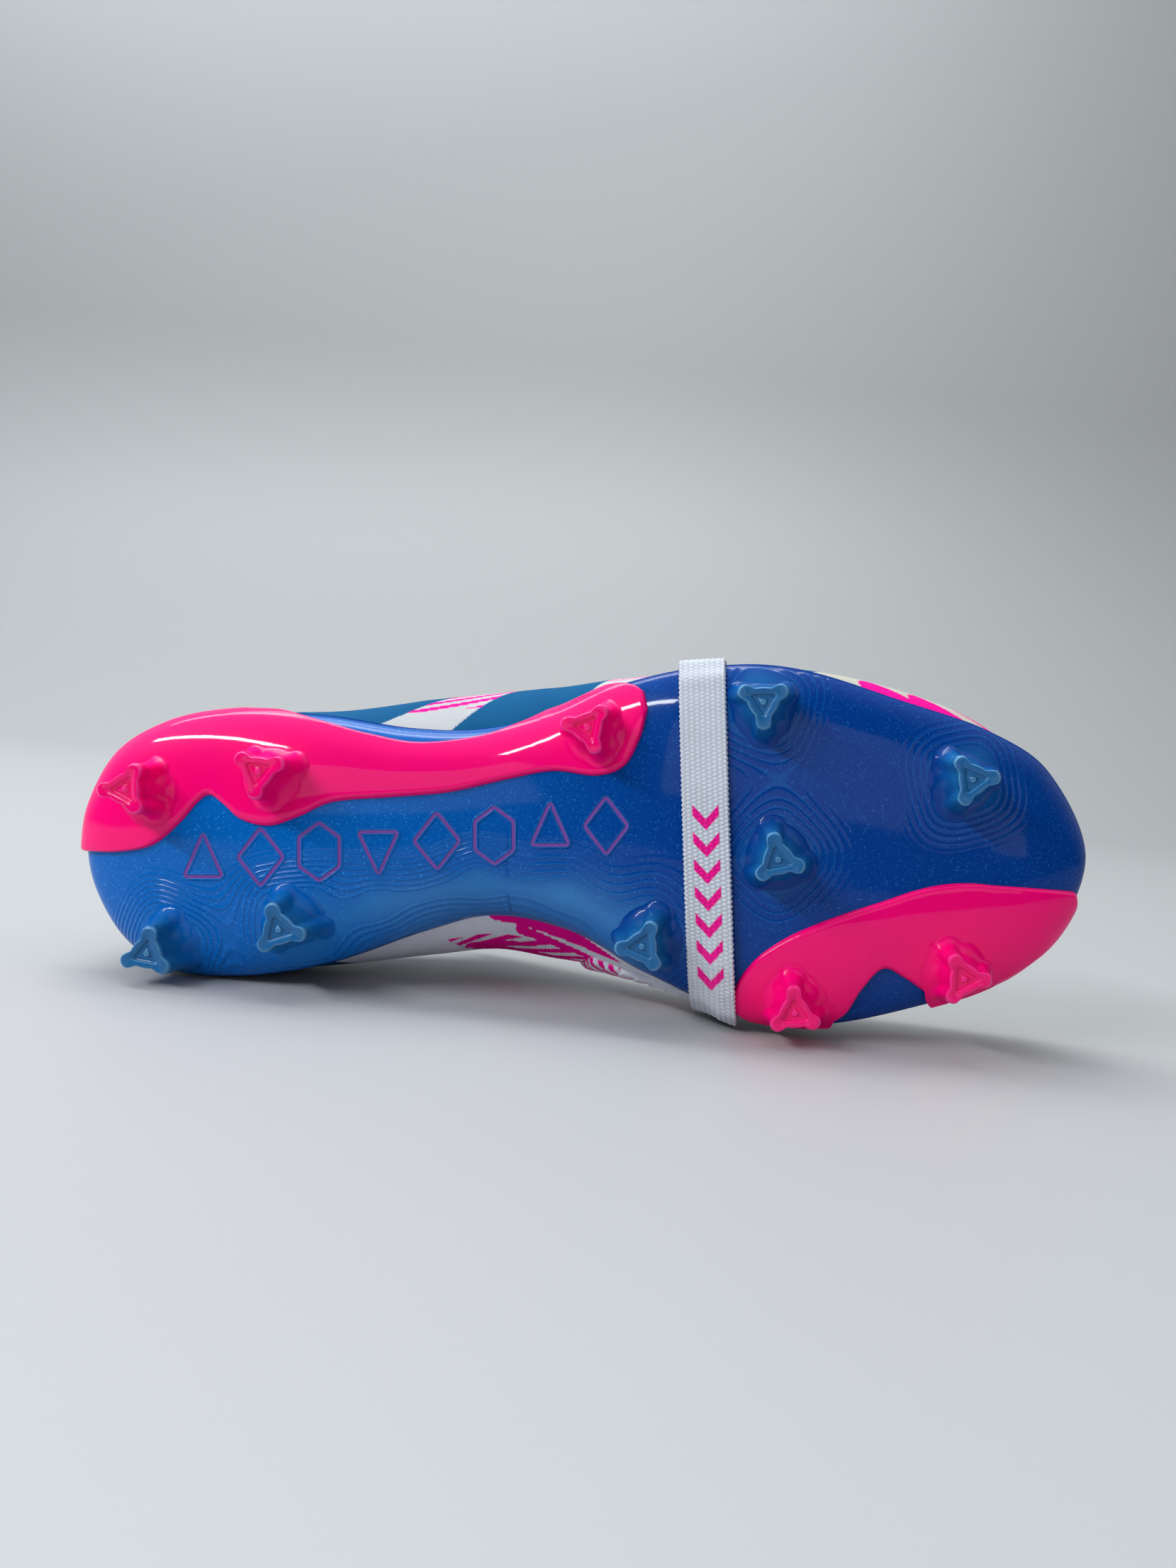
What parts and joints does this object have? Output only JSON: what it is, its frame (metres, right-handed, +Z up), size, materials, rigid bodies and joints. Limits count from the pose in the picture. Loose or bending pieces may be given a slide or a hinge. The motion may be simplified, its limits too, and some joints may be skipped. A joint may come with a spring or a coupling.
{
  "type": "soccer boot",
  "caption": "Right-foot firm-ground soccer boot with a studded moulded sole, a fold-over tongue flap and an elastic band round the forefoot, lying on its inner side.",
  "frame": {"origin": "middle of the footprint of the boot as it lies on its inner side, on the ground", "axes": "+X towards the toe, -Y the way the sole faces, +Z up, from the inner side to the outer side"},
  "size_m": [0.2858, 0.1044, 0.1037],
  "materials": {
    "plate_blue": "moulded, glossy, with fine sparkle",
    "frame_pink": "moulded, high gloss",
    "tip_blue": "clear pale-blue moulding, frosted",
    "tip_pink": "clear pink moulding",
    "upper_white": "coated knit, matt",
    "upper_teal": "coated knit, matt",
    "rubber_pink": "moulded rubber skin",
    "band_white": "woven elastic",
    "board_grey": "fibre board",
    "foam_blue": "textile over foam",
    "lining_grey": "textile over foam",
    "stiffener": "thermoplastic sheet"
  },
  "bodies": {
    "boot": {"outsole_plate": "plate_blue", "heel_frame": "frame_pink", "forefoot_frame": "frame_pink", "stud_tip_heel_lateral_rear": "tip_pink", "stud_tip_heel_lateral_front": "tip_pink", "stud_tip_midfoot_lateral": "tip_pink", "stud_tip_heel_medial_rear": "tip_blue", "stud_tip_heel_medial_front": "tip_blue", "stud_tip_midfoot_medial": "tip_blue", "stud_tip_forefoot_lateral_rear": "tip_blue", "stud_tip_forefoot_lateral_front": "tip_blue", "stud_tip_forefoot_centre": "tip_blue", "stud_tip_forefoot_medial_rear": "tip_pink", "stud_tip_forefoot_medial_front": "tip_pink", "elastic_band": "band_white", "toe_panel": "upper_white", "medial_quarter": "upper_white", "lateral_quarter": "upper_teal", "heel_quarter": "upper_teal", "strike_panel": "rubber_pink", "heel_counter": "stiffener", "toe_puff": "stiffener", "collar_lining": "foam_blue", "lasting_board": "board_grey", "sockliner": "foam_blue", "medial_eyestay": "upper_white", "lateral_eyestay": "upper_teal", "tongue": "lining_grey"},
    "flap": {"tongue_flap": "upper_teal"}
  },
  "joints": [
    {"name": "flap_fold", "type": "hinge", "parent": "boot", "child": "flap", "pos_m": [-0.0574, 0.05137, 0.03991], "axis": [-0.0979, 0.0281, 0.9948], "range_deg": [0, 30], "stiffness_Nm_per_rad": 0.08, "deforming": ["elastic_band"]}
  ]
}
